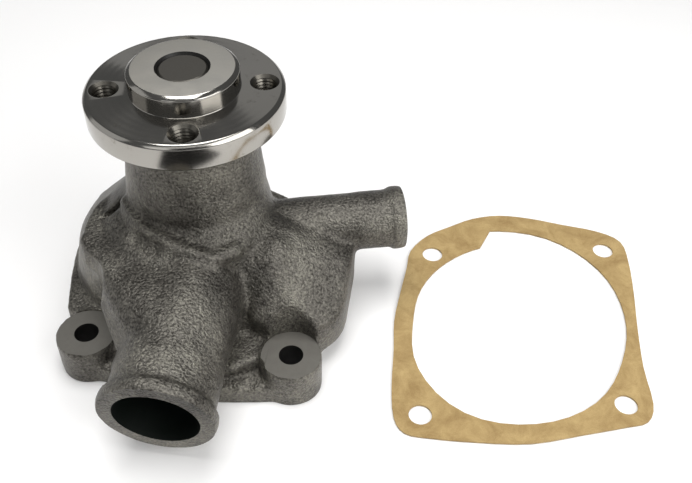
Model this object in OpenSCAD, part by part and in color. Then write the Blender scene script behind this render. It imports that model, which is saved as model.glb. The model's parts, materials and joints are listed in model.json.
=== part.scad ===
// Engine coolant pump: cast housing, integral shaft bearing, face seal, impeller and drive flange,
// with its loose mounting gasket. The pump stands on its mounting face, at z = 0, and the shaft
// runs straight up through the origin. +X is along the front pair of bolt holes, -Y is the inlet.

/* [Overall] */
// Height of the drive flange face above the mounting face
flange_z = 110; // [106:0.5:130]
// Height of the neck's top face above the mounting face
neck_top_z = 96.5; // [92:0.5:98]

/* [Drive flange] */
// Radius of the drive flange
flange_r = 38.1; // [37:0.1:46]
// Thickness of the drive flange
flange_t = 11.6; // [9:0.1:12.5]
// Edge chamfer of the drive flange
flange_edge = 1.4; // [0.3:0.1:2.5]
// Radius of the pilot boss that centres the pulley
pilot_r = 21.2; // [17:0.1:23]
// Height of the pilot boss
pilot_h = 8.4; // [6:0.1:14]
// Width of the pilot boss's chamfer
pilot_edge_w = 1.6; // [0.5:0.1:4]
// Depth of the pilot boss's chamfer
pilot_edge_h = 1.2; // [0.5:0.1:4]
// Radius of the circle that the four tapped holes lie on
tapped_circle_r = 30.1; // [29:0.1:31]
// Radius of each tapped hole
tapped_r = 4.25; // [3:0.05:4.5]
// Radius of each tapped hole's countersink
countersink_r = 5.65; // [4.6:0.05:6]
// Turn of the tapped holes about the shaft
flange_turn = 13.4; // [0:0.1:90]

/* [Shaft and bearing] */
// Radius of the shaft
shaft_r = 9.525; // [8:0.025:10]
// Outer radius of the bearing
bearing_r = 19.05; // [18.5:0.05:21]
// Length of the bearing's outer ring
bearing_len = 41; // [34:0.5:41]
// Height of the bearing's lower end above the mounting face
bearing_z = 55; // [54:0.5:56]
// Radius of each ball
ball_r = 3.96875; // [3:0.01:4]
// Radius of the circle that the balls' centres run on
ball_circle_r = 13; // [12.8:0.1:13.2]
// Number of balls in each row
ball_count = 8; // [5:1:8]
// Running clearance between balls and their tracks
ball_gap = 0.04; // [0.02:0.01:0.08]
// Running clearance of lips and bores round the shaft
shaft_gap = 0.07; // [0.04:0.01:0.1]

/* [Face seal] */
// Radius of the seal's press-fit case
seal_r = 18.2; // [17.5:0.1:18.4]
// Height of the sliding faces above the mounting face
seal_face_z = 32; // [31:0.1:33]
// Wall of the pressed seal case
case_wall = 0.8; // [0.5:0.1:1]
// Wire diameter of the seal spring
wire_d = 1.3; // [0.8:0.1:1.5]
// Number of turns of the seal spring
spring_turns = 4; // [3:1:5]

/* [Impeller] */
// Radius of the impeller
impeller_r = 39; // [32:0.5:40]
// Height of the impeller's back plate above the mounting face
impeller_z = 4; // [2:0.5:6]
// Thickness of the impeller's back plate
plate_t = 3.5; // [2.5:0.5:5]
// Number of vanes
vane_count = 6; // [5:1:8]
// Thickness of each vane
vane_t = 3.6; // [2.5:0.1:5]
// Radius of the impeller's hub
hub_r = 16.5; // [16:0.1:18]
// Running clearance between the vanes and the suction wall
vane_gap = 0.6; // [0.3:0.1:1.5]

/* [Housing] */
// Thickness of the mounting flange
base_t = 9; // [7:0.5:12]
// Height of the front bolt bosses
boss_z = 17; // [16.5:0.5:20]
// Height of the back bolt bosses
back_boss_z = 11.5; // [11.5:0.5:14]
// Radius of the front bolt bosses
boss_r = 12.7; // [12.4:0.1:14.5]
// Radius of the front spot faces
spot_r = 12.2; // [10:0.1:12.6]
// Radius of the back bolt bosses
back_boss_r = 10.2; // [9.5:0.1:11.5]
// Radius of the back spot faces
back_spot_r = 8; // [7.5:0.1:8]
// Radius of the bolt holes
bolt_r = 5; // [4:0.1:5.5]
// Thickness of the casting's outer walls
wall = 5; // [4:0.5:6]
// Depth of the scroll round the impeller
scroll_z = 11; // [9:0.5:11.5]
// Depth of the impeller's pocket, from the mounting face to the suction wall
pocket_z = 21; // [20:0.5:22]
// Clearance round the impeller in its pocket
pocket_gap = 2; // [1:0.1:2.2]
// Radius of the suction eye
eye_r = 27; // [25:0.5:30]
// Radius of the neck just under its top
neck_r = 25.2; // [24.5:0.1:28]
// Radius of the neck where it meets the shoulder
neck_root_r = 28.6; // [28:0.1:31]

// Width of the drain slot
drain_w = 3.8; // [2.5:0.1:4.5]
// Length of the drain slot, between the centres of its ends
drain_len = 4; // [2:0.5:5]

/* [Hose stubs] */
// Radius of the inlet stub under the hose
inlet_r = 20.6; // [20:0.1:23]
// Bore radius of the inlet stub
inlet_bore_r = 16.5; // [14:0.1:17.5]
// Downward tilt of the inlet stub
inlet_tilt = 7; // [0:0.5:9]
// Distance from the shaft to the inlet mouth
inlet_reach = 94.5; // [85:0.5:115]
// Height of the inlet mouth's centre
inlet_z = 29; // [27:0.5:31]
// Radius of the bypass stub under the hose
bypass_r = 12.7; // [12:0.1:14]
// Bore radius of the bypass stub
bypass_bore_r = 9.4; // [7:0.1:10]
// Turn of the bypass stub away from +X
bypass_turn = 15.7; // [10:0.1:20]
// Distance of the bypass mouth along its own axis
bypass_reach = 88.5; // [84:0.5:105]
// Height of the bypass stub's centre
bypass_z = 40; // [39:0.5:42]
// Height of the hose bead on the inlet stub
inlet_bead_h = 1.2; // [0.4:0.1:1.5]
// Height of the hose bead on the bypass stub
bypass_bead_h = 0.6; // [0.4:0.1:1.5]
// Width of the hose bead on both stubs
bead_w = 5.5; // [3:0.5:7]
// Length of the smooth hose seat behind each bead
seat_len = 15; // [10:0.5:16]

/* [Gasket] */
// Thickness of the gasket
gasket_t = 0.8; // [0.4:0.1:1.5]
// Radius of the gasket's bolt holes
gasket_hole_r = 4.8; // [4.2:0.1:5.2]
// Distance of the loose gasket's origin from the shaft, along X
gasket_x = 137.5; // [136:0.5:170]
// Distance of the loose gasket's origin from the shaft, along Y
gasket_y = -2.5; // [-30:0.5:30]
// Turn of the gasket about its own origin
gasket_turn = 11; // [0:0.5:45]

/* [Hidden] */
$fn = 96;
e = 0.01;
nose = 0.8;                           // length and depth of the lead-in at a stub's mouth

// Bolt holes of the mounting face: front left, front right, back left, back right
bolt_at = [[-39.5, -48.8], [46.5, -48.8], [-56, 41.5], [28.2, 43.2]];
// Outline of the mounting face, anticlockwise from the front right corner
outline = [[57.5, -49], [56.5, -33], [53.5, -14], [51.5, 2], [47, 18], [42, 34], [38.5, 46], [29, 56],
    [17, 62], [4, 67.5], [-10, 69.2], [-25, 66.3], [-40, 61], [-57, 55], [-66.5, 47], [-66.3, 33],
    [-62.5, 13], [-57.5, -8], [-53, -30], [-51, -49], [-46, -57.5], [-36, -59.5], [-18, -62],
    [4, -64.8], [25, -63], [44, -60], [54, -57]];
// Scroll radii, from the tongue once round the shaft: [angle, radius]
scroll = [[93, 58.5], [120, 60], [150, 58], [180, 54], [210, 52], [240, 54.5], [270, 56], [300, 56.5],
    [330, 51], [360, 43.2], [390, 42.2], [420, 43.6], [445, 46.8]];

// Bolt bosses: x, y, height, radius and radius of the spot face
bosses = [for (i = [0:3]) [bolt_at[i][0], bolt_at[i][1], i < 2 ? boss_z : back_boss_z,
    i < 2 ? boss_r : back_boss_r, i < 2 ? spot_r : back_spot_r]];

seal_top_z = seal_face_z + 16;       // upper end of the seal's bore
carbon_top_z = seal_face_z + 6;
snout_z = seal_face_z + 2.5;         // lower rim of the seal's housing
snout_r = 24;
eye_top_z = pocket_z + wall;
chamber_r = 35;
chamber_at = [-8, 1];                // the suction chamber reaches towards the inlet
chamber_top_z = seal_face_z + 11;
shoulder_z = 64;                     // the neck meets the shoulder here
hub_top_z = seal_face_z - 1;
seat_z = seal_face_z - 5;
boot_z = seal_face_z - 6.5;
boot_r = 14.5;
front_row_z = bearing_z + bearing_len * 0.74;
rear_row_z = bearing_z + bearing_len * 0.26;
ring_bore_r = 15.5;
cage_h = 2 * ball_r + 1.8;
shaft_low_z = 3;
shaft_top_z = flange_z + pilot_h - 0.6;
inlet_x = (bolt_at[0][0] + bolt_at[1][0]) / 2 + 1.2;
bypass_y = -8 - (bypass_z - 40) * 1.1;

// Catmull-Rom curve through a, b, c, d, from b to c
function blend(a, b, c, d, t) = 0.5 * (2 * b + (c - a) * t + (2 * a - 5 * b + 4 * c - d) * t * t
    + (3 * b - a - 3 * c + d) * t * t * t);
// Closed curve through a list of points, with the given steps between neighbours
function closed_curve(p, steps) = let (n = len(p)) [for (i = [0:n - 1], k = [0:steps - 1])
    blend(p[(i + n - 1) % n], p[i], p[(i + 1) % n], p[(i + 2) % n], k / steps)];
// Open curve through the scroll's angles and radii, grown outwards, as points round the shaft
function scroll_curve(grow, steps = 4) = let (n = len(scroll)) [for (i = [0:n - 2], k = [0:steps])
    if (k < steps || i == n - 2)
        let (q = blend(scroll[max(i - 1, 0)], scroll[i], scroll[i + 1], scroll[min(i + 2, n - 1)], k / steps))
        (q[1] + grow) * [cos(q[0]), sin(q[0])]];

// Places a horizontal tube's own frame: +X along the tube, from the shaft outwards
module along_inlet() {
    translate([inlet_x, -inlet_reach, inlet_z]) rotate([0, 0, -90]) rotate([0, inlet_tilt, 0]) children();
}
module along_bypass() {
    translate([0, bypass_y, bypass_z]) rotate([0, 0, bypass_turn]) children();
}
module tube_x(from_x, to_x, r) {
    translate([from_x, 0, 0]) rotate([0, 90, 0]) cylinder(h = to_x - from_x, r = r);
}

// A ring with a rectangular section
module ring(z0, z1, r_in, r_out) {
    translate([0, 0, z0]) difference() {
        cylinder(h = z1 - z0, r = r_out);
        translate([0, 0, -1]) cylinder(h = z1 - z0 + 2, r = r_in);
    }
}

// The neck, and the drum over the impeller's pocket, turned about the shaft
module turned_body() {
    rotate_extrude() polygon([[0, base_t - 1], [46.2, base_t - 1], [46.2, 24], [44, 27], [30, 34],
        [neck_root_r, shoulder_z - 6], [neck_root_r, shoulder_z + 3],
        [neck_r, neck_top_z - 1], [neck_r - 1, neck_top_z], [0, neck_top_z]]);
}

// Suction dome, which leans towards the inlet's side: [x, y, z, radius] of each level
module dome() {
    levels = [[-12, 3, base_t, 46], [-12, 4, 22, 46], [-12, 5, 31, 44], [-10, 2, 38, 41.5], [-7, -2, 45, 38],
        [-4, -6, 50, 36.5], [-2, -7, 55, 33], [0, -1, 61, 29]];
    hull() {
        for (l = levels) translate([l[0], l[1], l[2]]) cylinder(h = 0.5, r = l[3], $fn = 64);
    }
}

// Volute wall, following the scroll, and the wall that stands on the flange's left edge
module scroll_body() {
    linear_extrude(scroll_z + wall) polygon(scroll_curve(wall));
    linear_extrude(boss_z) polygon([[-38, -38], [-52.4, -37], [-55.2, -27], [-58.4, -15], [-60.4, -4], [-61.6, 5],
        [-62, 14], [-60, 22], [-54, 29], [-30, 40]]);
}

// Right-hand shoulder, from the body down to the front right bolt boss, and the wall under the bypass
module right_shoulder() {
    hull() {
        translate([30, -12, 30]) sphere(r = 24, $fn = 32);
        translate([44.5, -22, base_t - 1]) cylinder(h = 16, r = 21.5, $fn = 32);
        translate([47, -2, 18]) cylinder(h = 20, r = 20, $fn = 32);
    }
}

// Flared duct between the inlet stub and the left side of the body
module inlet_flare() {
    hull() {
        translate([inlet_x, -62, inlet_z + 4]) sphere(r = inlet_r, $fn = 32);
        translate([-14, -16, 30]) cylinder(h = 22, r = 30, $fn = 32);
        translate([inlet_x, -24, inlet_z + 4]) sphere(r = inlet_r + 1, $fn = 32);
    }
}

// A hose stub in its tube's frame: rough root, smooth seat, bead and a nose with a lead-in
module hose_stub(root_x, mouth_x, r, bead_h) {
    tube_x(root_x, mouth_x - bead_w - seat_len, r - 0.3);
    tube_x(mouth_x - bead_w - seat_len, mouth_x - bead_w, r);
    tube_x(mouth_x - bead_w, mouth_x - nose, r + bead_h);
    translate([mouth_x - nose, 0, 0]) rotate([0, 90, 0]) cylinder(h = nose, r1 = r + bead_h, r2 = r + bead_h - nose);
}
module inlet_stub() { along_inlet() hose_stub(-60, 0, inlet_r, inlet_bead_h); }
module bypass_stub() { along_bypass() hose_stub(20, bypass_reach, bypass_r, bypass_bead_h); }

module bolt_bosses() {
    for (b = bosses) translate([b[0], b[1], 0]) cylinder(h = b[2], r = b[3]);
}

// Everything hollow inside the casting
module passages() {
    // scroll and suction eye
    translate([0, 0, -1]) linear_extrude(scroll_z + 1) polygon(scroll_curve(0));
    translate([0, 0, scroll_z - 1]) cylinder(h = pocket_z - scroll_z + 1, r = impeller_r + pocket_gap);
    translate([0, 0, pocket_z - 1]) cylinder(h = wall + 2, r = eye_r);
    // suction chamber round the seal's housing
    difference() {
        translate([chamber_at[0], chamber_at[1], eye_top_z])
            cylinder(h = chamber_top_z - eye_top_z, r = chamber_r);
        translate([0, 0, snout_z]) cylinder(h = 40, r = snout_r);
    }
    along_inlet() tube_x(-inlet_reach + snout_r + 3, 1, inlet_bore_r);
    along_bypass() tube_x(snout_r + 2, bypass_reach + 1, bypass_bore_r);
}

// Stepped bore for the seal, the drain chamber and the bearing
module shaft_bores() {
    translate([0, 0, eye_top_z]) cylinder(h = seal_top_z - eye_top_z, r = seal_r);
    translate([0, 0, seal_top_z - 1]) cylinder(h = 40, r = boot_r);
    translate([0, 0, bearing_z]) cylinder(h = neck_top_z - bearing_z + 1, r = bearing_r);
    translate([0, 0, neck_top_z - 0.8]) cylinder(h = 0.8 + e, r1 = bearing_r, r2 = bearing_r + 0.8);
}

// Drain slot from the chamber between bearing and seal, out through the shoulder on the left
module drain() {
    rotate([0, 0, 204]) translate([6, 0, seal_top_z + 4]) rotate([0, 76, 0]) {
        translate([0, -drain_w / 2, 0]) cube([drain_len, drain_w, 50]);
        for (x = [0, drain_len]) translate([x, 0, 0]) cylinder(h = 50, r = drain_w / 2);
    }
}

module housing() {
    color([0.29, 0.27, 0.24]) difference() {
        union() {
            linear_extrude(base_t) polygon(closed_curve(outline, 3));
            turned_body();
            dome();
            scroll_body();
            right_shoulder();
            inlet_flare();
            inlet_stub();
            bypass_stub();
            bolt_bosses();
        }
        passages();
        shaft_bores();
        drain();
        for (b = bosses) translate([b[0], b[1], 0]) {
            translate([0, 0, -1]) cylinder(h = b[2] + 2, r = bolt_r);
            translate([0, 0, b[2]]) cylinder(h = 60, r = b[4]);
        }
        // the mounting face is machined flat
        translate([-150, -150, -50]) cube([300, 300, 50]);
    }
}

// Groove that one row of balls runs in
module ball_track(z) {
    translate([0, 0, z]) rotate_extrude() translate([ball_circle_r, 0]) circle(r = ball_r + ball_gap, $fn = 64);
}

module bearing_outer_ring() {
    color("silver") difference() {
        ring(bearing_z, bearing_z + bearing_len, ring_bore_r, bearing_r);
        ball_track(front_row_z);
        ball_track(rear_row_z);
    }
}

module lip_seal(z) { ring(z, z + 2.5, shaft_r + shaft_gap, ring_bore_r); }

module bearing_seal_front() { color("dimgray") lip_seal(bearing_z + bearing_len - 3.5); }
module bearing_seal_rear() { color("dimgray") lip_seal(bearing_z + 1); }

// One row of balls, and the cage that keeps them apart
module ball_row(z) {
    for (i = [0:ball_count - 1]) rotate([0, 0, i * 360 / ball_count])
        translate([ball_circle_r, 0, z]) sphere(r = ball_r);
}
module ball_cage(z) {
    difference() {
        ring(z - cage_h / 2, z + cage_h / 2, ball_circle_r - 1.7, ball_circle_r + 1.7);
        for (i = [0:ball_count - 1]) rotate([0, 0, i * 360 / ball_count])
            translate([ball_circle_r, 0, z]) sphere(r = ball_r + ball_gap);
    }
}

module front_balls() { color("gainsboro") ball_row(front_row_z); }
module front_cage() { color("peru") ball_cage(front_row_z); }
module rear_balls() { color("gainsboro") ball_row(rear_row_z); }
module rear_cage() { color("peru") ball_cage(rear_row_z); }

module shaft() {
    color([0.33, 0.34, 0.35]) difference() {
        union() {
            translate([0, 0, shaft_low_z]) cylinder(h = 0.8, r1 = shaft_r - 0.8, r2 = shaft_r);
            translate([0, 0, shaft_low_z + 0.8]) cylinder(h = shaft_top_z - shaft_low_z - 1.6, r = shaft_r);
            translate([0, 0, shaft_top_z - 0.8]) cylinder(h = 0.8, r1 = shaft_r, r2 = shaft_r - 0.8);
        }
        ball_track(front_row_z);
        ball_track(rear_row_z);
    }
}

module drive_flange() {
    low = flange_z - flange_t;
    top = flange_z + pilot_h;
    color([0.75, 0.74, 0.70]) difference() {
        rotate_extrude() polygon([[shaft_r, low], [flange_r - flange_edge, low], [flange_r, low + flange_edge],
            [flange_r, flange_z - flange_edge], [flange_r - flange_edge, flange_z], [pilot_r, flange_z],
            [pilot_r, top - pilot_edge_h], [pilot_r - pilot_edge_w, top],
            [shaft_r + 0.9, top], [shaft_r, top - 1.6]]);
        for (i = [0:3]) rotate([0, 0, flange_turn + 90 * i]) translate([tapped_circle_r, 0, low]) {
            translate([0, 0, -1]) cylinder(h = flange_t + 2, r = tapped_r);
            translate([0, 0, flange_t - (countersink_r - tapped_r)])
                cylinder(h = countersink_r - tapped_r + e, r1 = tapped_r, r2 = countersink_r + e);
        }
    }
}

// Disc that throws any leak outwards before it reaches the bearing
module slinger() {
    color("goldenrod") {
        ring(seal_top_z + 2, seal_top_z + 3, shaft_r, boot_r - 1.5);
        ring(seal_top_z + 3, seal_top_z + 5.5, shaft_r, shaft_r + 1.2);
    }
}

// One vane, swept backwards from the hub to the rim as a strip between two arcs
module vane() {
    mid_r = (impeller_r + hub_r) / 2;
    translate([mid_r * 0.62, mid_r * 0.72, 0]) difference() {
        cylinder(h = pocket_z - vane_gap - impeller_z - 1, r = mid_r * 0.72 + vane_t / 2);
        translate([0, 0, -1]) cylinder(h = pocket_z, r = mid_r * 0.72 - vane_t / 2);
        translate([-impeller_r, 0, -1]) cube([3 * impeller_r, 2 * impeller_r, pocket_z * 2]);
        translate([-2 * impeller_r, -impeller_r * 2, -1]) cube([2 * impeller_r - mid_r * 0.3, 4 * impeller_r, pocket_z * 2]);
    }
}

module impeller() {
    vane_low = impeller_z + 1;
    color([0.34, 0.33, 0.31]) difference() {
        union() {
            translate([0, 0, impeller_z]) cylinder(h = plate_t, r = impeller_r);
            translate([0, 0, impeller_z]) cylinder(h = hub_top_z - impeller_z, r = hub_r);
            intersection() {
                for (i = [0:vane_count - 1]) rotate([0, 0, i * 360 / vane_count])
                    translate([0, 0, vane_low]) vane();
                cylinder(h = pocket_z, r = impeller_r);
            }
        }
        translate([0, 0, -1]) cylinder(h = hub_top_z + 2, r = shaft_r);
        translate([0, 0, boot_z]) cylinder(h = 20, r = boot_r);
    }
}

// Face seal, from the outside in
module seal_case() {
    color("goldenrod") {
        ring(snout_z + 1, seal_top_z - case_wall, seal_r - case_wall, seal_r);
        ring(seal_top_z - case_wall, seal_top_z, shaft_r + 2, seal_r);
    }
}

module seal_bellows() {
    low = carbon_top_z;
    high = seal_top_z - case_wall;
    color([0.12, 0.12, 0.12]) rotate_extrude() polygon([[12, low], [14.6, low], [14.6, low + 2], [13.2, low + 3.2],
        [14.6, low + 4.6], [13.2, low + 6], [14.6, high - 1], [14.6, high], [12, high],
        [12, high - 1.2], [12, low + 6.6], [12.8, low + 4.6], [12, low + 3.4]]);
}

module seal_retainer() {
    color("silver") {
        ring(carbon_top_z - 3.5, carbon_top_z, 14, 14.6);
        ring(carbon_top_z - 0.8, carbon_top_z, 14.6, seal_r - case_wall - 0.4);
    }
}

// Coil spring between the retainer and the case, swept as a tube with flattened ends
function coil_point(t) = let (r = 16, low = carbon_top_z + wire_d / 2 + 0.02, high = seal_top_z - case_wall - wire_d / 2 - 0.02)
    [r * cos(t * 360 * spring_turns), r * sin(t * 360 * spring_turns), low + (high - low) * t];
module seal_spring() {
    rings = 76;
    sides = 8;
    pts = [for (i = [0:rings]) let (c = coil_point(i / rings), a = 360 * spring_turns * i / rings)
        for (k = [0:sides - 1]) c + wire_d / 2 * (cos(k * 360 / sides) * [cos(a), sin(a), 0]
            + sin(k * 360 / sides) * [0, 0, 1])];
    quads = [for (i = [0:rings - 1], k = [0:sides - 1])
        [i * sides + k, i * sides + (k + 1) % sides, (i + 1) * sides + (k + 1) % sides, (i + 1) * sides + k]];
    color("lightgray") polyhedron(points = pts, faces = concat(quads,
        [[for (k = [sides - 1:-1:0]) k]], [[for (k = [0:sides - 1]) rings * sides + k]]));
}

module seal_carbon() {
    color([0.17, 0.17, 0.18]) {
        ring(seal_face_z + 0.03, seal_face_z + 2, 11.4, 13);
        ring(seal_face_z + 2, carbon_top_z, 11, 14);
    }
}

module seal_seat() { color("ivory") ring(seat_z, seal_face_z, 10.6, 13); }

module seal_seat_boot() {
    color([0.12, 0.12, 0.12]) {
        ring(boot_z, seat_z, shaft_r, boot_r);
        ring(seat_z, hub_top_z, 13, boot_r);
    }
}

module gasket() {
    color([0.87, 0.72, 0.50]) translate([gasket_x, gasket_y, 0]) rotate([0, 0, gasket_turn]) mirror([1, 0, 0])
        difference() {
            linear_extrude(gasket_t) polygon(closed_curve(outline, 3));
            translate([0, 0, -1]) linear_extrude(gasket_t + 2) polygon(scroll_curve(0));
            for (p = bolt_at) translate([p[0], p[1], -1]) cylinder(h = gasket_t + 2, r = gasket_hole_r);
        }
}

housing();
bearing_outer_ring();
bearing_seal_front();
bearing_seal_rear();
front_balls();
front_cage();
rear_balls();
rear_cage();
shaft();
drive_flange();
slinger();
impeller();
seal_case();
seal_bellows();
seal_spring();
seal_retainer();
seal_carbon();
seal_seat();
seal_seat_boot();
gasket();
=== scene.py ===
import json
import math

import bpy
import numpy as np
from mathutils import Matrix, Vector

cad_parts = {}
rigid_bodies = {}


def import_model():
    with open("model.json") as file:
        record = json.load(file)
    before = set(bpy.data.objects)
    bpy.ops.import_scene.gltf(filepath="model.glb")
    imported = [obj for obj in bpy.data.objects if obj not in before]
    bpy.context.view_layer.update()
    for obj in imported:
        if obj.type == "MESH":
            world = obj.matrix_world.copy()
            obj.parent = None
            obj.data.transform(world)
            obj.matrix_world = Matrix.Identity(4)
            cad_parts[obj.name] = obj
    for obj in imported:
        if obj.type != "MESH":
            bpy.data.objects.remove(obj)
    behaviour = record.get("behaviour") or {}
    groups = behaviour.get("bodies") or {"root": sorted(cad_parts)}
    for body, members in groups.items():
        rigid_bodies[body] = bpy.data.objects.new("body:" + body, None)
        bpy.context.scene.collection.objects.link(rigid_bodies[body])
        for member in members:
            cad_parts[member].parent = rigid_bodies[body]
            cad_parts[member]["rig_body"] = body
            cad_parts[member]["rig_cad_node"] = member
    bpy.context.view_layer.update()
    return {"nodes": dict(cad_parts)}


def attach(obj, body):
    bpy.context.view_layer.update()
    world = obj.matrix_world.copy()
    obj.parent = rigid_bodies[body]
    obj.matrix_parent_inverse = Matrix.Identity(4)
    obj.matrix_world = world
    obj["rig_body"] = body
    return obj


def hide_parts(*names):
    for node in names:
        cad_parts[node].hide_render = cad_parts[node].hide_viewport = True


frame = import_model()
nodes = frame["nodes"]
mm = 0.001
print("frame loaded:", len(nodes), "CAD nodes")


def deselectAll():
    if bpy.context.mode != "OBJECT":
        bpy.ops.object.mode_set(mode="OBJECT")
    for item in list(bpy.context.selected_objects):
        item.select_set(False)


def makeActive(piece, *others):
    deselectAll()
    for item in (piece, *others):
        item.select_set(True)
    bpy.context.view_layer.objects.active = piece


def settle(piece):
    # the place goes into the mesh, so the object sits at the origin, unturned and unscaled
    makeActive(piece)
    bpy.ops.object.transform_apply(location=True, rotation=True, scale=True)


def applyModifier(piece, kind, **settings):
    makeActive(piece)
    modifier = piece.modifiers.new(kind.title(), kind)
    for key, value in settings.items():
        setattr(modifier, key, value)
    bpy.ops.object.modifier_apply(modifier=modifier.name)


def copyNode(nodeName, pieceName):
    # a CAD node's mesh is loose triangles, so the copy's points are merged
    piece = nodes[nodeName].copy()
    piece.data = nodes[nodeName].data.copy()
    piece.parent = None
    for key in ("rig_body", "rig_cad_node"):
        if key in piece:
            del piece[key]
    piece.name = pieceName
    piece.data.name = pieceName
    piece.data.materials.clear()
    bpy.context.scene.collection.objects.link(piece)
    makeActive(piece)
    bpy.ops.object.mode_set(mode="EDIT")
    bpy.ops.mesh.select_all(action="SELECT")
    bpy.ops.mesh.remove_doubles(threshold=0.005 * mm)
    bpy.ops.object.mode_set(mode="OBJECT")
    return piece


def addRod(name, start, end, radius, endRadius=None, sides=64):
    # a straight round bar or cone between two points, all in mm
    start, end = Vector(start) * mm, Vector(end) * mm
    along = end - start
    turn = along.to_track_quat("Z", "Y").to_euler()
    deselectAll()
    bpy.ops.mesh.primitive_cone_add(vertices=sides, radius1=radius * mm,
                                    radius2=(radius if endRadius is None else endRadius) * mm,
                                    depth=along.length, location=(start + end) / 2, rotation=turn)
    rod = bpy.context.active_object
    rod.name = name
    settle(rod)
    return rod


def addBlock(name, low, high):
    low, high = Vector(low) * mm, Vector(high) * mm
    deselectAll()
    bpy.ops.mesh.primitive_cube_add(size=1, location=(low + high) / 2, scale=high - low)
    block = bpy.context.active_object
    block.name = name
    settle(block)
    return block


def cutWith(piece, cutter):
    # the manifold solver is quick and crisp, and wants both meshes closed
    applyModifier(piece, "BOOLEAN", operation="DIFFERENCE", object=cutter, solver="MANIFOLD")
    bpy.data.objects.remove(cutter)


def selectFaces(piece, test):
    # a new primitive is selected all over, so its points and edges are let go first
    mesh = piece.data
    mesh.vertices.foreach_set("select", [False] * len(mesh.vertices))
    mesh.edges.foreach_set("select", [False] * len(mesh.edges))
    for face in mesh.polygons:
        face.select = test(face)
        if face.select:
            for corner in face.vertices:
                mesh.vertices[corner].select = True


def faceData(mesh):
    count = len(mesh.polygons)
    centres = np.zeros(count * 3)
    normals = np.zeros(count * 3)
    mesh.polygons.foreach_get("center", centres)
    mesh.polygons.foreach_get("normal", normals)
    return centres.reshape(-1, 3) / mm, normals.reshape(-1, 3)


def giveMaterials(mesh, *materials):
    mesh.materials.clear()
    for material in materials:
        mesh.materials.append(material)


def smoothShading(piece, degrees):
    makeActive(piece)
    bpy.ops.object.shade_smooth_by_angle(angle=math.radians(degrees))


def linear(hexColour):
    values = [int(hexColour[i:i + 2], 16) / 255 for i in (1, 3, 5)]
    return [v / 12.92 if v <= 0.04045 else ((v + 0.055) / 1.055) ** 2.4 for v in values] + [1.0]


def addNode(tree, kind, inputs=None, links=None, **settings):
    node = tree.nodes.new("ShaderNode" + kind)
    for key, value in settings.items():
        setattr(node, key, value)
    for key, value in (inputs or {}).items():
        node.inputs[key].default_value = value
    for key, source in (links or {}).items():
        tree.links.new(source, node.inputs[key])
    return node


def newMaterial(name, **sockets):
    # the given values go on the shader's own sockets, with _ for a space in their names
    material = bpy.data.materials.new(name)
    material.use_nodes = True
    shader = material.node_tree.nodes["Principled BSDF"]
    for key, value in sockets.items():
        shader.inputs[key.replace("_", " ")].default_value = value
    return material, material.node_tree, shader


def perMm(size):
    # a noise texture's scale, for lumps of so many millimetres
    return 1000 / size


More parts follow.
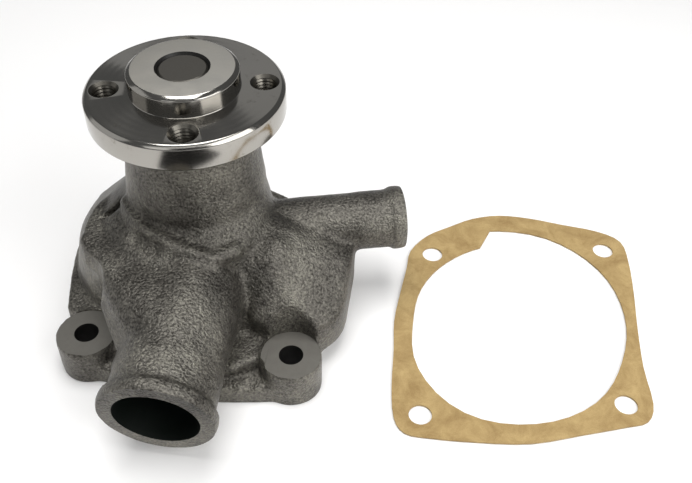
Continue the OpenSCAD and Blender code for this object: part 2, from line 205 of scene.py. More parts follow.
def makeSandCastIron():
    # grey cast iron as it left a green sand mould, oiled: a pebbled skin of fused grains, brown-black in
    # its pits and a dry grey-green on its high grains, with a dull sheen that breaks up on the pebbles.
    # The pits' brown-black is also laid in the creases as painted shade. The grain is rough on the bypass
    # side, and smoother on the other side of the dome
    look = {"pitAndCreaseShade": "#35322e", "skin": "#64615b", "dust": "#918e83", "grain": 0.95, "patch": 26, "lump": 3.6,
            "relief": 0.8, "smoothSide": (-62, -8)}
    material, tree, shader = newMaterial("sandCastIron", Metallic=0.8, Roughness=0.45)
    place = addNode(tree, "TexCoord").outputs["Object"]
    patches = addNode(tree, "TexNoise", {"Scale": perMm(look["patch"]), "Detail": 5, "Roughness": 0.6},
                      {"Vector": place})
    lumps = addNode(tree, "TexNoise", {"Scale": perMm(look["lump"]), "Detail": 4, "Roughness": 0.55},
                    {"Vector": place})
    grains = addNode(tree, "TexNoise", {"Scale": perMm(look["grain"]), "Detail": 3, "Roughness": 0.5,
                                        "Distortion": 0.3}, {"Vector": place})
    sides = addNode(tree, "SeparateXYZ", None, {"Vector": place})
    low, high = look["smoothSide"]
    coarse = addNode(tree, "MapRange", {"From Min": low * mm, "From Max": high * mm, "To Min": 0.45,
                                        "To Max": 1}, {"Value": sides.outputs["X"]})
    rough = addNode(tree, "MapRange", {"From Min": 0.36, "From Max": 0.6, "To Min": 0.55, "To Max": 1},
                    {"Value": patches.outputs["Fac"]})
    rough = addNode(tree, "Math", None, {0: rough.outputs[0], 1: coarse.outputs[0]}, operation="MULTIPLY")
    height = addNode(tree, "Math", {1: 0.7}, {0: lumps.outputs["Fac"], 2: grains.outputs["Fac"]},
                     operation="MULTIPLY_ADD")
    height = addNode(tree, "Math", None, {0: height.outputs[0], 1: rough.outputs[0]}, operation="MULTIPLY")
    bump = addNode(tree, "Bump", {"Strength": 1, "Distance": look["relief"] * mm},
                   {"Height": height.outputs[0]})
    hollow = addNode(tree, "Attribute", attribute_name="hollow")
    tone = addNode(tree, "Math", {1: 0.9}, {0: patches.outputs["Fac"], 2: grains.outputs["Fac"]},
                   operation="MULTIPLY_ADD")
    tone = addNode(tree, "MapRange", {"From Min": 0.5, "From Max": 1.4}, {"Value": tone.outputs[0]})
    colour = addNode(tree, "ValToRGB", None, {"Fac": tone.outputs[0]})
    ramp = colour.color_ramp
    ramp.elements[0].position, ramp.elements[0].color = 0.22, linear(look["pitAndCreaseShade"])
    ramp.elements[1].position, ramp.elements[1].color = 0.85, linear(look["dust"])
    middle = ramp.elements.new(0.5)
    middle.color = linear(look["skin"])
    # painted shade: where the crease mask is high, the colour goes to the pits' brown-black
    colour = addNode(tree, "Mix", {"B": linear(look["pitAndCreaseShade"])},
                     {"Factor": hollow.outputs["Fac"], "A": colour.outputs["Color"]}, data_type="RGBA")
    shine = addNode(tree, "MapRange", {"From Min": 0.35, "From Max": 0.65, "To Min": 0.32, "To Max": 0.5},
                    {"Value": grains.outputs["Fac"]})
    tree.links.new(colour.outputs["Result"], shader.inputs["Base Color"])
    tree.links.new(shine.outputs[0], shader.inputs["Roughness"])
    tree.links.new(bump.outputs["Normal"], shader.inputs["Normal"])
    return material


def makeMachinedIron(name, hexColour, hexStain, grainMm, roughness):
    # cast iron faced by a cutter: flat grey, a faint cross grain of tool marks and graphite specks
    material, tree, shader = newMaterial(name, Metallic=0.55, Roughness=roughness)
    place = addNode(tree, "TexCoord").outputs["Object"]
    stretched = addNode(tree, "Mapping", {"Scale": (1, 0.12, 1)}, {"Vector": place})
    marks = addNode(tree, "TexNoise", {"Scale": perMm(grainMm), "Detail": 3},
                    {"Vector": stretched.outputs[0]})
    stains = addNode(tree, "TexNoise", {"Scale": perMm(7), "Detail": 6, "Roughness": 0.7}, {"Vector": place})
    colour = addNode(tree, "Mix", {"A": linear(hexColour), "B": linear(hexStain)},
                     {"Factor": stains.outputs["Fac"]}, data_type="RGBA")
    bump = addNode(tree, "Bump", {"Strength": 0.5, "Distance": 0.00004}, {"Height": marks.outputs["Fac"]})
    shine = addNode(tree, "MapRange", {"To Min": roughness - 0.1, "To Max": roughness + 0.12},
                    {"Value": stains.outputs["Fac"]})
    tree.links.new(colour.outputs["Result"], shader.inputs["Base Color"])
    tree.links.new(shine.outputs[0], shader.inputs["Roughness"])
    tree.links.new(bump.outputs["Normal"], shader.inputs["Normal"])
    return material


def makeTurnedSteel():
    # free-cutting steel turned on a lathe and left bright: near-mirror, faint rings round the shaft,
    # a few dull spots of handling rust. Real rings are about 0.1 mm apart, and are drawn 2.83 mm apart
    # to show as soft bands
    look = {"steel": "#a3a09a", "rust": "#6f695e", "ring": 2.83, "stain": 5, "haze": 30}
    material, tree, shader = newMaterial("turnedSteel", Metallic=1.0, Roughness=0.16)
    place = addNode(tree, "TexCoord").outputs["Object"]
    # at a scale of 1, a wave texture's rings are 2 pi / 20 apart
    rings = addNode(tree, "TexWave", {"Scale": perMm(look["ring"]) * math.tau / 20, "Distortion": 0.6,
                                      "Detail": 2, "Detail Scale": 2.5}, {"Vector": place},
                    wave_type="RINGS", rings_direction="Z")
    stains = addNode(tree, "TexNoise", {"Scale": perMm(look["stain"]), "Detail": 8, "Roughness": 0.72},
                     {"Vector": place})
    spots = addNode(tree, "MapRange", {"From Min": 0.58, "From Max": 0.72, "To Min": 0, "To Max": 0.65},
                    {"Value": stains.outputs["Fac"]})
    haze = addNode(tree, "TexNoise", {"Scale": perMm(look["haze"]), "Detail": 3}, {"Vector": place})
    colour = addNode(tree, "Mix", {"A": linear(look["steel"]), "B": linear(look["rust"])},
                     {"Factor": spots.outputs[0]}, data_type="RGBA")
    shine = addNode(tree, "MapRange", {"From Min": 0.3, "From Max": 0.7, "To Min": 0.07, "To Max": 0.2},
                    {"Value": haze.outputs["Fac"]})
    shine = addNode(tree, "Math", {1: 0.25}, {0: spots.outputs[0], 2: shine.outputs[0]},
                    operation="MULTIPLY_ADD")
    bump = addNode(tree, "Bump", {"Strength": 0.35, "Distance": 0.000012}, {"Height": rings.outputs["Fac"]})
    tree.links.new(colour.outputs["Result"], shader.inputs["Base Color"])
    tree.links.new(shine.outputs[0], shader.inputs["Roughness"])
    tree.links.new(bump.outputs["Normal"], shader.inputs["Normal"])
    return material


def makePlainMetal(name, hexLight, hexDark, roughness, grainMm, relief, metallic=1.0):
    # one recipe for the small metal parts: colour drifts between two tones, and fine marks, as deep as
    # the relief in mm, break the gloss
    material, tree, shader = newMaterial(name, Metallic=metallic, Roughness=roughness)
    place = addNode(tree, "TexCoord").outputs["Object"]
    drift = addNode(tree, "TexNoise", {"Scale": perMm(6), "Detail": 5}, {"Vector": place})
    marks = addNode(tree, "TexNoise", {"Scale": perMm(grainMm), "Detail": 4, "Roughness": 0.6},
                    {"Vector": place})
    colour = addNode(tree, "Mix", {"A": linear(hexLight), "B": linear(hexDark)},
                     {"Factor": drift.outputs["Fac"]}, data_type="RGBA")
    shine = addNode(tree, "MapRange", {"To Min": roughness * 0.7, "To Max": roughness * 1.3},
                    {"Value": drift.outputs["Fac"]})
    bump = addNode(tree, "Bump", {"Strength": 0.5, "Distance": relief * mm}, {"Height": marks.outputs["Fac"]})
    tree.links.new(colour.outputs["Result"], shader.inputs["Base Color"])
    tree.links.new(shine.outputs[0], shader.inputs["Roughness"])
    tree.links.new(bump.outputs["Normal"], shader.inputs["Normal"])
    return material


def makeMouldedStuff(name, hexLight, hexDark, roughness, grainMm, relief):
    # rubber, nylon, carbon or ceramic: no metal in it, a fine surface grain and a slight drift of tone
    return makePlainMetal(name, hexLight, hexDark, roughness, grainMm, relief, metallic=0.0)


def makeGasketPaper():
    # compressed cellulose and cork sheet, die cut: dull tan, clouded, with short fibres and dark flecks
    # lying every way, dry and matt. Its fibres are about 0.1 mm thick and are drawn at 0.5 mm to show
    look = {"dark": "#94794c", "light": "#b99f6d", "fleck": "#6d5634", "cloud": 11, "fibre": 0.5,
            "speck": 2.4}
    material, tree, shader = newMaterial("gasketPaper", Roughness=0.9)
    place = addNode(tree, "TexCoord").outputs["Object"]
    clouds = addNode(tree, "TexNoise", {"Scale": perMm(look["cloud"]), "Detail": 8, "Roughness": 0.7,
                                        "Distortion": 0.6}, {"Vector": place})
    fibres = addNode(tree, "TexNoise", {"Scale": perMm(look["fibre"]), "Detail": 3, "Distortion": 2.5},
                     {"Vector": place})
    tone = addNode(tree, "Math", {1: 0.45}, {0: fibres.outputs["Fac"], 2: clouds.outputs["Fac"]},
                   operation="MULTIPLY_ADD")
    tone = addNode(tree, "MapRange", {"From Min": 0.55, "From Max": 0.9}, {"Value": tone.outputs[0]})
    colour = addNode(tree, "Mix", {"A": linear(look["dark"]), "B": linear(look["light"])},
                     {"Factor": tone.outputs[0]}, data_type="RGBA")
    flecks = addNode(tree, "TexNoise", {"Scale": perMm(look["speck"]), "Detail": 6, "Roughness": 0.8},
                     {"Vector": place})
    dark = addNode(tree, "MapRange", {"From Min": 0.64, "From Max": 0.74, "To Min": 0, "To Max": 0.5},
                   {"Value": flecks.outputs["Fac"]})
    colour = addNode(tree, "Mix", {"B": linear(look["fleck"])},
                     {"Factor": dark.outputs[0], "A": colour.outputs["Result"]}, data_type="RGBA")
    bump = addNode(tree, "Bump", {"Strength": 0.6, "Distance": 0.0001}, {"Height": fibres.outputs["Fac"]})
    tree.links.new(colour.outputs["Result"], shader.inputs["Base Color"])
    tree.links.new(bump.outputs["Normal"], shader.inputs["Normal"])
    return material


sandCastIron = makeSandCastIron()
# a milled face: mid grey and dry, a faint cross grain
facedIron = makeMachinedIron("facedIron", "#74726c", "#605d57", 0.8, 0.5)
# painted shade: a drilled hole's wall is coloured almost black, for the shade inside the hole
paintedHoleShade = makeMachinedIron("paintedHoleShade", "#211f1d", "#151413", 0.6, 0.6)
# painted shade: cast iron in the water ways is coloured black-green, almost black, for the shade inside the
# stubs
paintedPassageShade = makeMachinedIron("paintedPassageShade", "#121a15", "#0c110e", 3, 0.55)
turnedSteel = makeTurnedSteel()
# tapped steel: duller and darker than the turned face, with oil in its roots
threadedSteel = makePlainMetal("threadedSteel", "#75726b", "#4a4741", 0.3, 0.5, 0.02)
# ground and hardened steel: an even satin grey
groundSteel = makePlainMetal("groundSteel", "#77746e", "#5b5852", 0.42, 0.4, 0.012)
# a lathe-faced end: pale satin, brighter than what lies round it
facedSteel = makePlainMetal("facedSteel", "#dbd8d0", "#b4b0a7", 0.42, 0.9, 0.03)
# painted shade: the bore round the shaft and its mouth are coloured almost black, for the shade in the gap
paintedGapShade = makePlainMetal("paintedGapShade", "#1b1a18", "#0f0e0d", 0.5, 0.6, 0.03, metallic=0.4)
# polished bearing steel: nearly a mirror
bearingSteel = makePlainMetal("bearingSteel", "#c8c8c6", "#b4b3af", 0.12, 0.5, 0.004)
# drawn stainless wire: bright, with soft lines of light
springWire = makePlainMetal("springWire", "#a9a8a4", "#8a8883", 0.28, 0.4, 0.01)
# brass pressed from sheet: yellow, with a soft gloss
pressedBrass = makePlainMetal("pressedBrass", "#c39a4e", "#a07c3c", 0.3, 0.6, 0.01)
# a small iron casting: dark and matt, rough to the touch
impellerIron = makePlainMetal("impellerIron", "#5d5a53", "#464440", 0.6, 1.4, 0.25, metallic=0.3)
# moulded nylon: tan, with a low waxy sheen
mouldedNylon = makeMouldedStuff("mouldedNylon", "#a8804c", "#8f6b3d", 0.45, 0.5, 0.02)
# moulded nitrile rubber: black and matt
mouldedRubber = makeMouldedStuff("mouldedRubber", "#1b1b1a", "#121211", 0.62, 0.6, 0.03)
# lapped carbon: blue-black, with a flat sheen
lappedCarbon = makeMouldedStuff("lappedCarbon", "#26262a", "#1a1a1c", 0.38, 0.3, 0.005)
# lapped ceramic: ivory and smooth
lappedCeramic = makeMouldedStuff("lappedCeramic", "#e6e1d3", "#d8d2c2", 0.2, 0.4, 0.003)
gasketPaper = makeGasketPaper()
print("materials made")


casting = {
    "voxel": 1.1,               # mm, the mesh size of the cast skin
    "rounding": 9,              # smoothing passes: every corner of a sand casting is rounded
    "waviness": 0.5,            # mm, slow swells of the moulded surface
    "swell": 12,                # mm, how long a swell is
    "spare": 3,                 # mm of stock below the mounting face, which is milled off
    "bossSpare": 0.6, "backBossSpare": 1.5, "stubSpare": 2.5,       # the same above bosses and stubs
    "frontBolts": [(-39.5, -48.8), (46.5, -48.8)], "bossTop": 17, "bossRadius": 12.6, "spotRadius": 12.3,
    "backBolts": [(-56, 41.5), (28.2, 43.2)], "backBossTop": 11.5, "backFill": 7.5, "backSpotRadius": 8,
    "boltRadius": 5.0,
    "inletMouth": (4.7, -94.35, 29), "inletTilt": 7, "inletRadius": 20.6, "inletBore": 16.5,
    "inletBead": 0.9, "inletFill": 7, "inletBoreDepth": 16, "inletFacer": 30,
    "bypassStart": (0, -8, 40), "bypassTurn": 15.7, "bypassReach": 88.5, "bypassRadius": 12.7,
    "bypassBore": 9.4, "bypassBead": 0.6, "bypassFill": 6, "bypassBoreDepth": 14, "bypassFacer": 20,
    "beadWidth": 5.5,
    "waterWay": 75,             # mm, how far in from a stub's mouth the passage gets painted shade
    "drainTurn": 204, "drainLean": 76,              # degrees, round the shaft and off it
    "drainWidth": 4.4, "drainLength": 6.5,
    "drainStart": (6, 52),      # mm, from the shaft and up it
    "drainFill": (12, 24), "drainReach": 60,
}

# raised edges and sunk lines of the casting: the points they pass, width and height in mm
skirtEdge = [(-26, -15, 61.5), (-15, -28.3, 60), (0, -34.5, 57.5), (14.8, -36, 54.5), (24, -30, 55.5)]
dropOff = [(-40, -28, 49), (-37, -33, 47), (-31, -41, 45), (-27, -46, 42), (-23, -60, 35), (-18, -77, 32)]
strokes = [
    (skirtEdge, 3.8, 2.2),
    ([(x * 1.08, y * 1.08, z - 5) for x, y, z in skirtEdge[1:4]], 4.2, -1.8),
    ([(x * 0.9, y * 0.9, z + 4) for x, y, z in skirtEdge[1:]], 4, -0.6),
    (dropOff, 4, 1.8),
    ([(-43, -32, 40), (-39, -39, 35), (-33, -47, 30), (-28, -58, 24)], 7, -1.6),
    ([(18, -40, 44), (17.5, -46, 38), (20, -60, 30), (23, -72, 17)], 5, -1.8),
    ([(36, -20, 47), (34, -33, 38), (29, -43, 27)], 6, 1.6),
    ([(30, -46, 30), (27, -56, 22), (27, -66, 14)], 3.2, 1.1),
    ([(24, -50, 28), (22.5, -62, 20), (24, -72, 10)], 2.6, -1.2),
    ([(33, -56, 17), (31, -64, 11)], 2.4, -1.0),
]


def alongInlet(distance):
    # a point on the inlet's axis, that far inside its mouth
    x, y, z = casting["inletMouth"]
    tilt = math.radians(casting["inletTilt"])
    return (x, y + distance * math.cos(tilt), z + distance * math.sin(tilt))


def alongBypass(distance):
    # a point on the bypass's axis, that far inside its mouth
    x, y, z = casting["bypassStart"]
    turn = math.radians(casting["bypassTurn"])
    reach = casting["bypassReach"] - distance
    return (x + reach * math.cos(turn), y + reach * math.sin(turn), z)


def fillCuts(body):
    # holes and faces that a tool cuts are filled before the skin is rounded
    low = -casting["spare"]
    fills = []
    for x, y in casting["frontBolts"]:
        fills.append(addRod("fill", (x, y, low), (x, y, casting["bossTop"] + casting["bossSpare"]),
                            casting["bossRadius"]))
    for x, y in casting["backBolts"]:
        fills.append(addRod("fill", (x, y, low), (x, y, casting["backBossTop"] + casting["backBossSpare"]),
                            casting["backFill"]))
    spare = -casting["stubSpare"]
    fills.append(addRod("fill", alongInlet(casting["inletFill"]), alongInlet(spare), casting["inletRadius"]))
    fills.append(addRod("fill", alongBypass(casting["bypassFill"]), alongBypass(spare),
                        casting["bypassRadius"]))
    fills.append(makeDrainSlot(*casting["drainFill"]))
    makeActive(body, *fills)
    bpy.ops.object.join()


def drillBoss(body, x, y, top, spotRadius):
    # the boss is spot faced, then drilled through; both tools reach well past the work
    facerEnd, drillEnds = 60, (-5, 40)
    cutWith(body, addRod("cut", (x, y, top), (x, y, facerEnd), spotRadius))
    cutWith(body, addRod("cut", (x, y, drillEnds[0]), (x, y, drillEnds[1]), casting["boltRadius"], sides=48))


def boreStub(body, along, facer, bore, depth):
    # the stub's end is faced, then its bore is cut in from the mouth; both tools start outside it
    facerStart, boreStart = -12, -5
    cutWith(body, addRod("cut", along(0), along(facerStart), facer))
    cutWith(body, addRod("cut", along(depth), along(boreStart), bore))


def makeCasting():
    body = copyNode("housing", "castHousing")
    # the mounting face goes down by the spare stock, so that its edge is cut and not rounded
    selectFaces(body, lambda face: face.center.z < 0.02 * mm and face.normal.z < -0.9)
    bpy.ops.object.mode_set(mode="EDIT")
    bpy.ops.mesh.select_mode(type="FACE")
    bpy.ops.mesh.extrude_region_move(TRANSFORM_OT_translate={"value": (0, 0, -casting["spare"] * mm)})
    bpy.ops.object.mode_set(mode="OBJECT")
    fillCuts(body)
    applyModifier(body, "REMESH", mode="VOXEL", voxel_size=casting["voxel"] * mm)
    applyModifier(body, "SMOOTH", factor=0.5, iterations=casting["rounding"])
    for path, width, height in strokes:
        pressStroke(body, path, width, height)
    raiseBead(body, alongInlet, casting["inletRadius"], casting["inletBead"])
    raiseBead(body, alongBypass, casting["bypassRadius"], casting["bypassBead"])
    applyModifier(body, "SMOOTH", factor=0.5, iterations=2)
    swells = bpy.data.textures.new("castSwells", "CLOUDS")
    swells.noise_scale = casting["swell"] * mm
    applyModifier(body, "DISPLACE", texture=swells, strength=casting["waviness"] * mm, mid_level=0.5,
                  texture_coords="LOCAL")
    print("cast skin:", len(body.data.polygons), "faces")
    # painted shade: the creases of the skin are marked, and the cast iron is darkened there
    paintCreaseShade(body)
    # machined faces and holes are cut crisp
    side, deep = 150, 60        # mm, a block that is larger than the mounting face
    cutWith(body, addBlock("cut", (-side, -side, -deep), (side, side, 0)))
    for x, y in casting["frontBolts"]:
        drillBoss(body, x, y, casting["bossTop"], casting["spotRadius"])
    for x, y in casting["backBolts"]:
        drillBoss(body, x, y, casting["backBossTop"], casting["backSpotRadius"])
    boreStub(body, alongInlet, casting["inletFacer"], casting["inletBore"], casting["inletBoreDepth"])
    boreStub(body, alongBypass, casting["bypassFacer"], casting["bypassBore"], casting["bypassBoreDepth"])
    cutWith(body, makeDrainSlot(0, casting["drainReach"]))
    print("machined:", len(body.data.polygons), "faces")
    finishCasting(body)


def meshPoints(mesh):
    # the places and normals of a mesh's points, the places in mm
    count = len(mesh.vertices)
    points, normals = np.zeros(count * 3), np.zeros(count * 3)
    mesh.vertices.foreach_get("co", points)
    mesh.vertices.foreach_get("normal", normals)
    return points.reshape(-1, 3) / mm, normals.reshape(-1, 3)


def placePoints(mesh, points):
    mesh.vertices.foreach_set("co", (points * mm).ravel())
    mesh.update()


def pressStroke(piece, path, width, height):
    # raises or sinks the skin along a line that is laid on it first, as a modeller's thumb would.
    # Only skin that faces as the line does is moved, so the wall's inner side stays
    points, normals = meshPoints(piece.data)
    near = np.full(len(points), 1e9)
    steps = 8
    for start, end in zip(path, path[1:]):
        for step in range(steps):
            place = Vector(start).lerp(Vector(end), step / steps)
            _, spot, facing, _ = piece.closest_point_on_mesh(place * mm)
            away = np.linalg.norm(points - np.array(spot / mm), axis=1)
            near = np.where(normals @ np.array(facing) > 0.1, np.minimum(near, away), near)
    share = np.clip(1 - (near / (width * 1.25)) ** 2, 0, 1) ** 2
    placePoints(piece.data, points + normals * (share * height)[:, None])


def raiseBead(piece, along, radius, height):
    # the hose bead at a stub's mouth: a low band with a soft step behind it
    stepLength, noseLength, reach = 1.2, 2, 3       # mm; only skin within reach of the radius moves
    mouth = np.array(along(0))
    inward = np.array(along(1)) - mouth
    points, _ = meshPoints(piece.data)
    depth = (points - mouth) @ inward
    out = points - mouth - depth[:, None] * inward
    away = np.linalg.norm(out, axis=1)
    step = np.clip((casting["beadWidth"] + stepLength / 2 - depth) / stepLength, 0, 1)
    nose = np.clip((depth + noseLength) / noseLength, 0, 1)
    share = step * nose * (abs(away - radius) < reach)
    placePoints(piece.data, points + out / np.maximum(away, 0.1)[:, None] * (share * height)[:, None])


def makeDrainSlot(near, far):
    # the leak slot through the shoulder, between two distances out from the face seal
    turn, lean = math.radians(casting["drainTurn"]), math.radians(casting["drainLean"])
    across, level = casting["drainStart"]
    along = Vector((math.sin(lean) * math.cos(turn), math.sin(lean) * math.sin(turn), math.cos(lean)))
    tall = Vector((math.cos(lean) * math.cos(turn), math.cos(lean) * math.sin(turn), -math.sin(lean)))
    start = Vector((across * math.cos(turn), across * math.sin(turn), level)) + along * near
    slot = addRod("slot", start, start + along * (far - near), casting["drainWidth"] / 2, sides=24)
    # half of the round bar is pushed along, which makes its section long
    for point in slot.data.vertices:
        if (point.co / mm - start).dot(tall) > 0.001:
            point.co += tall * casting["drainLength"] * mm
    return slot


def paintCreaseShade(piece):
    # how far each point lies in a corner, 0 to 1: painted shade, which darkens the cast iron in its creases
    spreads, gain, least, most = 6, 6, 0.1, 0.85
    mesh = piece.data
    points, normals = meshPoints(mesh)
    count = len(points)
    ends = np.zeros(len(mesh.edges) * 2, int)
    mesh.edges.foreach_get("vertices", ends)
    a, b = ends.reshape(-1, 2).T
    both, other = np.concatenate([a, b]), np.concatenate([b, a])
    degree = np.maximum(np.bincount(both, minlength=count), 1)
    pull = np.stack([np.bincount(both, points[other, k] - points[both, k], count) for k in range(3)], 1)
    bend = (pull * normals).sum(1) / degree / casting["voxel"]
    for _ in range(spreads):
        bend = 0.5 * bend + 0.5 * np.bincount(both, bend[other], count) / degree
    hollow = np.clip(bend * gain - least, 0, most)
    mesh.attributes.new("hollow", "FLOAT", "POINT").data.foreach_set("value", hollow.astype(np.float32))


def finishCasting(piece):
    mesh = piece.data
    giveMaterials(mesh, sandCastIron, facedIron, paintedHoleShade, paintedPassageShade)
    cast, faced, holeShade, passageShade = range(4)
    centres, normals = faceData(mesh)
    slots = np.full(len(centres), cast)
    slots[(centres[:, 2] < 0.01) & (normals[:, 2] < -0.99)] = faced
    for places, top, radius in ((casting["frontBolts"], casting["bossTop"], casting["spotRadius"]),
                                (casting["backBolts"], casting["backBossTop"], casting["backSpotRadius"])):
        for x, y in places:
            away = np.hypot(centres[:, 0] - x, centres[:, 1] - y)
            slots[(away < radius) & (abs(centres[:, 2] - top) < 0.02) & (normals[:, 2] > 0.99)] = faced
            # painted shade: the walls of the bolt holes get the almost black colour
            slots[(away < casting["boltRadius"] + 0.05) & (centres[:, 2] < top + 1)
                  & (abs(normals[:, 2]) < 0.1)] = holeShade
    for along, bore in ((alongInlet, casting["inletBore"]), (alongBypass, casting["bypassBore"])):
        mouth = np.array(along(0))
        inward = np.array(along(1)) - mouth
        depth = (centres - mouth) @ inward
        away = np.linalg.norm(centres - mouth - depth[:, None] * inward, axis=1)
        # painted shade: the passages' walls, as deep as the water way, get the almost black green colour
        slots[(away < bore + 1.5) & (depth > 0.02) & (depth < casting["waterWay"])] = passageShade
    mesh.polygons.foreach_set("material_index", slots)
    smoothShading(piece, 40)
    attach(piece, "pump_body")
    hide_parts("housing")


makeCasting()


driveFlange = {
    "radius": 38.1, "low": 98.4, "face": 110, "edge": 1.4, "edgeBreak": 0.35,
    "pilotRadius": 21.2, "pilotWall": 7.2, "pilotChamfer": 1.6, "top": 118.4,
    "bore": 9.525, "boreChamfer": 1.15,
    "holeTurns": [13.4, 103.4, 193.4, 283.4],       # degrees round the shaft
    "holeCircle": 30.1, "holeRadius": 4.25, "countersink": 5.65,
    "threadPitch": 1.5, "threadDepth": 0.45, "threadStart": 0.3,
}


def editFaces(piece, test, *steps):
    # selects faces by their place, then runs the given edit-mode steps on them
    makeActive(piece)
    selectFaces(piece, test)
    bpy.ops.object.mode_set(mode="EDIT")
    bpy.ops.mesh.select_mode(type="FACE")
    for step in steps:
        step()
    bpy.ops.object.mode_set(mode="OBJECT")


def pushUp(height):
    return lambda: bpy.ops.mesh.extrude_region_move(TRANSFORM_OT_translate={"value": (0, 0, height * mm)})


def scaleFlat(share):
    return lambda: bpy.ops.transform.resize(value=(share, share, 1))


def insetBy(width):
    return lambda: bpy.ops.mesh.inset(thickness=width * mm, use_even_offset=True)


def holePlace(turn):
    turn = math.radians(turn)
    return driveFlange["holeCircle"] * math.cos(turn), driveFlange["holeCircle"] * math.sin(turn)


def makeThreadCutter(turn):
    # a tap: a round bar cut into rows of half a pitch, with every second row's edge grown
    d = driveFlange
    x, y = holePlace(turn)
    cutter = addRod("cut", (x, y, d["low"] - 1), (x, y, d["face"] + 1), d["holeRadius"], sides=40)
    makeActive(cutter)
    bpy.ops.object.mode_set(mode="EDIT")
    half = d["threadPitch"] / 2
    levels = [d["low"] + d["threadStart"] + row * half for row in range(int((d["face"] - d["low"]) / half))]
    for level in levels:
        bpy.ops.mesh.select_all(action="SELECT")
        bpy.ops.mesh.bisect(plane_co=(0, 0, level * mm), plane_no=(0, 0, 1))
    bpy.ops.object.mode_set(mode="OBJECT")
    grow = 1 + d["threadDepth"] / d["holeRadius"]
    for level in levels[1::2]:
        for point in cutter.data.vertices:
            if abs(point.co.z / mm - level) < 0.05:
                point.co.x = x * mm + (point.co.x - x * mm) * grow
                point.co.y = y * mm + (point.co.y - y * mm) * grow
    return cutter


def makeDriveFlange():
    d = driveFlange
    flange = addRod("turnedDriveFlange", (0, 0, d["low"] + d["edge"]), (0, 0, d["face"] - d["edge"]),
                    d["radius"], sides=160)
    narrow = scaleFlat(1 - d["edge"] / d["radius"])
    editFaces(flange, lambda face: face.normal.z < -0.9, pushUp(-d["edge"]), narrow)
    editFaces(flange, lambda face: face.normal.z > 0.9, pushUp(d["edge"]), narrow,
              insetBy(d["radius"] - d["edge"] - d["pilotRadius"]), pushUp(d["pilotWall"]),
              pushUp(d["top"] - d["face"] - d["pilotWall"]),
              scaleFlat((d["pilotRadius"] - d["pilotChamfer"]) / d["pilotRadius"]))
    applyModifier(flange, "BEVEL", width=d["edgeBreak"] * mm, segments=3, limit_method="ANGLE",
                  angle_limit=math.radians(28))
    # the shaft's bore, and a steep cone that opens its mouth
    past = 8
    coneDeep, coneOver = 1.6, 0.4
    cutWith(flange, addRod("cut", (0, 0, d["low"] - past), (0, 0, d["top"] + past), d["bore"], sides=96))
    cutWith(flange, addRod("cut", (0, 0, d["top"] - coneDeep), (0, 0, d["top"] + coneOver),
                           d["bore"] - 0.01, d["bore"] + d["boreChamfer"], sides=96))
    # the cone goes 0.3 mm past the face, at 45 degrees
    over = 0.3
    deep = d["countersink"] - d["holeRadius"]
    for turn in d["holeTurns"]:
        x, y = holePlace(turn)
        cutWith(flange, makeThreadCutter(turn))
        cutWith(flange, addRod("cut", (x, y, d["face"] - deep), (x, y, d["face"] + over), d["holeRadius"],
                               d["countersink"] + over, sides=40))
    mesh = flange.data
    giveMaterials(mesh, turnedSteel, threadedSteel, paintedGapShade, facedSteel)
    turned, threaded, gapShade, faced = range(4)
    centres, normals = faceData(mesh)
    levels = centres[:, 2]
    slots = np.full(len(centres), turned)
    for turn in d["holeTurns"]:
        x, y = holePlace(turn)
        away = np.hypot(centres[:, 0] - x, centres[:, 1] - y)
        slots[(away < d["countersink"] + 0.2) & (levels < d["face"] - 0.02)
              & (levels > d["low"] + 0.02)] = threaded
    away = np.hypot(centres[:, 0], centres[:, 1])
    slots[(levels > d["top"] - 0.05) & (normals[:, 2] > 0.98)] = faced
    # painted shade: the bore and the foot of its mouth get the almost black colour
    slots[(away < d["bore"] + 1.2) & (levels > d["low"] + 0.1) & (levels < d["top"] - 0.02)] = gapShade
    mesh.polygons.foreach_set("material_index", slots)
    smoothShading(flange, 24)
    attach(flange, "rotor")
    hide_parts("drive_flange")
    print("drive flange:", len(mesh.polygons), "faces")


makeDriveFlange()


finishes = {
    "bearing_outer_ring": bearingSteel, "bearing_seal_front": mouldedRubber,
    "bearing_seal_rear": mouldedRubber, "front_balls": bearingSteel, "front_cage": mouldedNylon,
    "rear_balls": bearingSteel, "rear_cage": mouldedNylon, "shaft": groundSteel, "slinger": pressedBrass,
    "impeller": impellerIron, "seal_case": pressedBrass, "seal_bellows": mouldedRubber,
    "seal_spring": springWire, "seal_retainer": springWire, "seal_carbon": lappedCarbon,
    "seal_seat": lappedCeramic, "seal_seat_boot": mouldedRubber, "gasket": gasketPaper,
}
for nodeName, material in finishes.items():
    giveMaterials(nodes[nodeName].data, material)
print("finishes given to", len(finishes), "CAD nodes")


studio = {
    "floor": "#fbfaf9", "world": "#eef0f2", "worldStrength": 0.16,
    # name: place, aim, width, height (all in m) and power in W
    "softboxes": {
        "topSoftbox": ((0.0, 0.0, 1.0), (0, 0, 0), 0.6, 0.6, 7.6),
        "rightSoftbox": ((0.6, -0.28, 0.5), (0.02, 0, 0.06), 0.6, 0.6, 3.6),
        "leftSoftbox": ((-0.66, -0.1, 0.35), (0, 0, 0.06), 0.5, 0.6, 0.5),
        "frontSoftbox": ((0.12, -0.47, 0.5), (0, 0, 0.11), 1.0, 0.34, 1.2),
        "backSoftbox": ((-0.12, 0.655, 0.52), (0, 0, 0.11), 0.5, 0.34, 0.14),
    },
    # name: place, aim, width and height
    "flags": {
        "cameraFlag": ((0.115, -0.4, 0.42), (0, 0, 0.11), 0.34, 0.2),
        "frontFlag": ((0.04, -0.25, 0.004), (0.04, -0.25, 1), 0.17, 0.26),
    },
}
camera = {
    "place": (89.796, -263.138, 291.291),           # mm
    "pitch": 43.88, "yaw": 5.875, "roll": -1.569,   # degrees: down, to the left, and round its own axis
    "lens": 44.27, "sensor": 36,
}


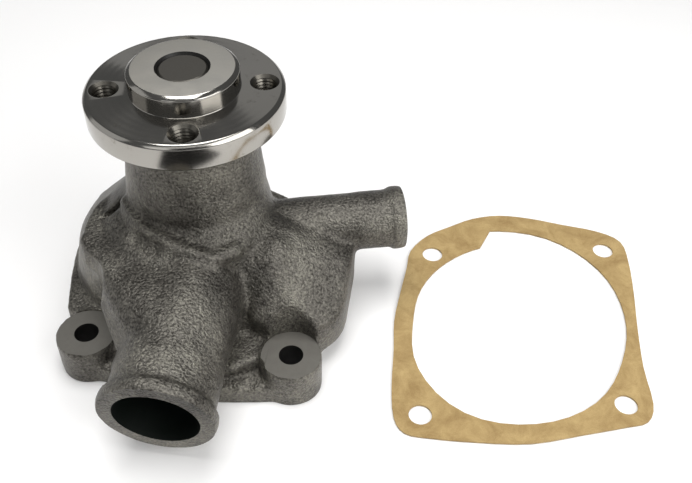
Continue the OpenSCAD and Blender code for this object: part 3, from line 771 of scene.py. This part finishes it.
def makeFloor():
    deselectAll()
    bpy.ops.mesh.primitive_plane_add(size=6, location=(0, 0, -0.4 * mm))
    floor = bpy.context.active_object
    floor.name = "studioFloor"
    # matt white paper sweep: an even pale ground, with soft shadows only
    material, _, _ = newMaterial("paleFloor", Base_Color=linear(studio["floor"]), Roughness=0.9)
    giveMaterials(floor.data, material)


def addSoftbox(name, place, aim, width, height, power):
    data = bpy.data.lights.new(name, "AREA")
    data.shape = "RECTANGLE"
    data.size, data.size_y, data.energy = width, height, power
    lamp = bpy.data.objects.new(name, data)
    bpy.context.scene.collection.objects.link(lamp)
    lamp.location = place
    lamp.rotation_euler = (Vector(aim) - Vector(place)).to_track_quat("-Z", "Y").to_euler()


def addFlag(name, place, aim, width, height):
    # a black card that only reflections see: it gives bright metal its dark bands and throws no shadow
    turn = (Vector(aim) - Vector(place)).to_track_quat("Z", "Y").to_euler()
    deselectAll()
    bpy.ops.mesh.primitive_plane_add(size=1, location=place, rotation=turn)
    card = bpy.context.active_object
    card.name = name
    card.scale = (width, height, 1)
    settle(card)
    # black flocked card: no light comes back from it
    material, _, _ = newMaterial(name, Base_Color=(0, 0, 0, 1), Roughness=1.0)
    giveMaterials(card.data, material)
    for sight in ("camera", "diffuse", "shadow", "transmission", "volume_scatter"):
        setattr(card, "visible_" + sight, False)


def makeCamera():
    pitch, yaw, roll = (math.radians(camera[key]) for key in ("pitch", "yaw", "roll"))
    forward = Vector((-math.sin(yaw) * math.cos(pitch), math.cos(yaw) * math.cos(pitch), -math.sin(pitch)))
    level = Vector((math.cos(yaw), math.sin(yaw), 0))
    down = forward.cross(level)
    right = math.cos(roll) * level + math.sin(roll) * down
    up = math.sin(roll) * level - math.cos(roll) * down
    data = bpy.data.cameras.new("pumpCamera")
    data.sensor_width = camera["sensor"]
    data.lens = camera["lens"]
    eye = bpy.data.objects.new("pumpCamera", data)
    bpy.context.scene.collection.objects.link(eye)
    turned = Matrix((right, up, -forward)).transposed().to_4x4()
    eye.matrix_world = Matrix.Translation(Vector(camera["place"]) * mm) @ turned
    bpy.context.scene.camera = eye


def makeWorld():
    world = bpy.data.worlds.new("studioWorld")
    bpy.context.scene.world = world
    world.use_nodes = True
    sky = world.node_tree.nodes["Background"]
    sky.inputs["Color"].default_value = linear(studio["world"])
    sky.inputs["Strength"].default_value = studio["worldStrength"]


makeFloor()
makeWorld()
for name, settings in studio["softboxes"].items():
    addSoftbox(name, *settings)
for name, settings in studio["flags"].items():
    addFlag(name, *settings)
makeCamera()
bpy.context.scene.view_settings.view_transform = "Standard"
print("studio ready")
